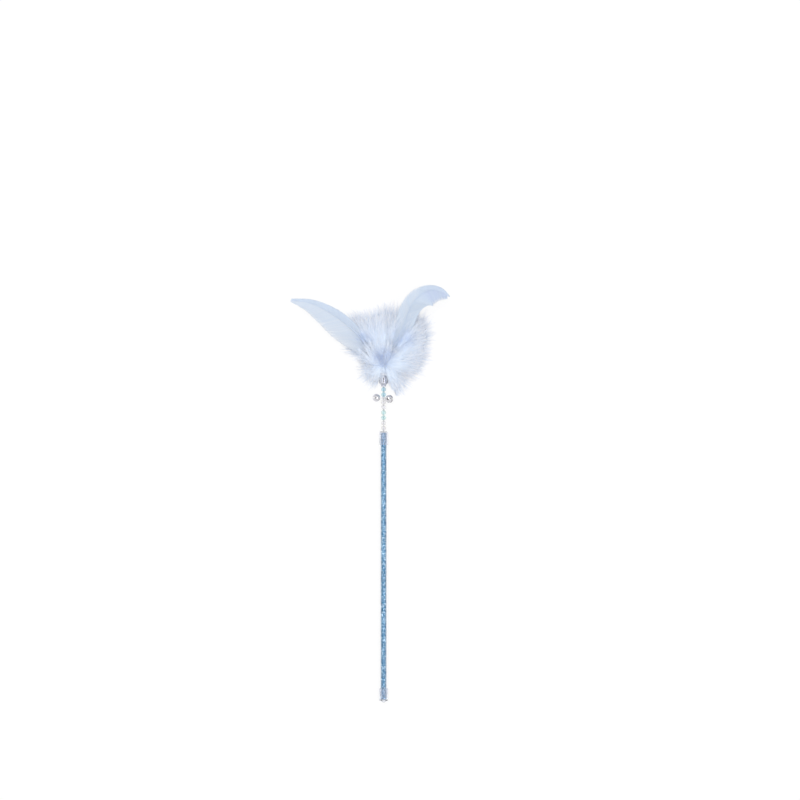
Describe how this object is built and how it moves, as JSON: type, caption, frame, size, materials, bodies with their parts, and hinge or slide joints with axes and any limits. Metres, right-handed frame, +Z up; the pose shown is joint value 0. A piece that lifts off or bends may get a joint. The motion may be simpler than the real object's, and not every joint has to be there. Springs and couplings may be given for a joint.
{
  "type": "cat teaser wand",
  "caption": "Slim clear wand with a glitter core, a bendable strand of beads and jingle bells, and a head of goose feathers and marabou down.",
  "frame": {"origin": "on the wand's axis, in the middle of the butt cap's straight wall", "axes": "the wand lies flat: +Y runs from the butt cap to the feathers, +Z is up from the surface it lies on, +X is to the right seen from above"},
  "size_m": [0.1578, 0.4169, 0.0266],
  "materials": {
    "cap_plastic": "gloss",
    "tube_plastic": "gloss",
    "glitter": "gloss",
    "line": "satin",
    "bead_clear": "gloss",
    "bead_teal": "gloss",
    "bead_aqua": "gloss",
    "bell_metal": "polished",
    "ferrule_metal": "satin",
    "glue": "satin",
    "stem": "satin",
    "goose_feather": "satin",
    "marabou": "matte"
  },
  "bodies": {
    "wand": {"butt_cap": "cap_plastic", "wand_tube": "tube_plastic", "glitter_film": "glitter", "top_cap": "cap_plastic", "anchor_knot": "line"},
    "link_1": {"line_link_1": "line"},
    "link_2": {"line_link_2": "line"},
    "link_3": {"line_link_3": "line"},
    "link_4": {"line_link_4": "line"},
    "link_5": {"line_link_5": "line"},
    "link_6": {"line_link_6": "line"},
    "link_7": {"line_link_7": "line"},
    "link_8": {"line_link_8": "line"},
    "link_9": {"line_link_9": "line"},
    "knot": {"head_knot": "line"},
    "head": {"ferrule": "ferrule_metal", "glue_plug": "glue", "plume_stems": "stem", "left_feather": "goose_feather", "right_feather": "goose_feather", "plume_1": "marabou", "plume_2": "marabou", "plume_3": "marabou", "plume_4": "marabou", "plume_5": "marabou", "plume_6": "marabou", "plume_7": "marabou", "plume_8": "marabou"},
    "bead_1": {"bead_1": "bead_clear"},
    "bead_2": {"bead_2": "bead_clear"},
    "bead_3": {"bead_3": "bead_teal"},
    "bead_4": {"bead_4": "bead_teal"},
    "bead_5": {"bead_5": "bead_clear"},
    "bead_6": {"bead_6": "bead_clear"},
    "bead_7": {"bead_7": "bead_aqua"},
    "bead_8": {"bead_8": "bead_aqua"},
    "left_bell": {"left_bell_shell": "bell_metal", "left_bell_loop": "bell_metal"},
    "left_pellet": {"left_bell_pellet": "bell_metal"},
    "right_bell": {"right_bell_shell": "bell_metal", "right_bell_loop": "bell_metal"},
    "right_pellet": {"right_bell_pellet": "bell_metal"}
  },
  "joints": [
    {"name": "sway_1", "type": "hinge", "parent": "wand", "child": "link_1", "pos_m": [0, 0.26345, 0], "axis": [0, 0, 1], "range_deg": [-18, 18]},
    {"name": "lift_1", "type": "hinge", "parent": "link_1", "child": "link_2", "pos_m": [0, 0.26925, 0], "axis": [1, 0, 0], "range_deg": [-18, 18]},
    {"name": "sway_2", "type": "hinge", "parent": "link_2", "child": "link_3", "pos_m": [0, 0.27445, 0], "axis": [0, 0, 1], "range_deg": [-18, 18]},
    {"name": "lift_2", "type": "hinge", "parent": "link_3", "child": "link_4", "pos_m": [0, 0.27965, 0], "axis": [1, 0, 0], "range_deg": [-18, 18]},
    {"name": "sway_3", "type": "hinge", "parent": "link_4", "child": "link_5", "pos_m": [0, 0.28485, 0], "axis": [0, 0, 1], "range_deg": [-18, 18]},
    {"name": "lift_3", "type": "hinge", "parent": "link_5", "child": "link_6", "pos_m": [0, 0.29005, 0], "axis": [1, 0, 0], "range_deg": [-18, 18]},
    {"name": "sway_4", "type": "hinge", "parent": "link_6", "child": "link_7", "pos_m": [0, 0.2952, 0], "axis": [0, 0, 1], "range_deg": [-18, 18]},
    {"name": "lift_4", "type": "hinge", "parent": "link_7", "child": "link_8", "pos_m": [0, 0.2976, 0], "axis": [1, 0, 0], "range_deg": [-18, 18]},
    {"name": "sway_5", "type": "hinge", "parent": "link_8", "child": "link_9", "pos_m": [0, 0.30275, 0], "axis": [0, 0, 1], "range_deg": [-18, 18]},
    {"name": "lift_5", "type": "hinge", "parent": "link_9", "child": "knot", "pos_m": [0, 0.30795, 0], "axis": [1, 0, 0], "range_deg": [-18, 18]},
    {"name": "head_turn", "type": "hinge", "parent": "knot", "child": "head", "pos_m": [0, 0.3082, 0], "axis": [0, 1, 0], "continuous": true},
    {"name": "bead_1_spin", "type": "hinge", "parent": "link_1", "child": "bead_1", "pos_m": [0, 0.26665, 0], "axis": [0, 1, 0], "continuous": true},
    {"name": "bead_2_spin", "type": "hinge", "parent": "link_2", "child": "bead_2", "pos_m": [0, 0.27185, 0], "axis": [0, 1, 0], "continuous": true},
    {"name": "bead_3_spin", "type": "hinge", "parent": "link_3", "child": "bead_3", "pos_m": [0, 0.27705, 0], "axis": [0, 1, 0], "continuous": true},
    {"name": "bead_4_spin", "type": "hinge", "parent": "link_4", "child": "bead_4", "pos_m": [0, 0.28225, 0], "axis": [0, 1, 0], "continuous": true},
    {"name": "bead_5_spin", "type": "hinge", "parent": "link_5", "child": "bead_5", "pos_m": [0, 0.28745, 0], "axis": [0, 1, 0], "continuous": true},
    {"name": "bead_6_spin", "type": "hinge", "parent": "link_6", "child": "bead_6", "pos_m": [0, 0.29265, 0], "axis": [0, 1, 0], "continuous": true},
    {"name": "bead_7_spin", "type": "hinge", "parent": "link_8", "child": "bead_7", "pos_m": [0, 0.30015, 0], "axis": [0, 1, 0], "continuous": true},
    {"name": "bead_8_spin", "type": "hinge", "parent": "link_9", "child": "bead_8", "pos_m": [0, 0.30535, 0], "axis": [0, 1, 0], "continuous": true},
    {"name": "left_bell_swing", "type": "hinge", "parent": "link_7", "child": "left_bell", "pos_m": [0, 0.297, 0], "axis": [0, -1, 0], "range_deg": [-43, 50]},
    {"name": "left_pellet_rattle", "type": "slide", "parent": "left_bell", "child": "left_pellet", "axis": [0, 0, 1], "range_m": [0, 0.0047]},
    {"name": "right_bell_swing", "type": "hinge", "parent": "link_7", "child": "right_bell", "pos_m": [0, 0.2958, 0], "axis": [0, -1, 0], "range_deg": [-88, 25]},
    {"name": "right_pellet_rattle", "type": "slide", "parent": "right_bell", "child": "right_pellet", "axis": [0, 0, 1], "range_m": [0, 0.0047]}
  ]
}
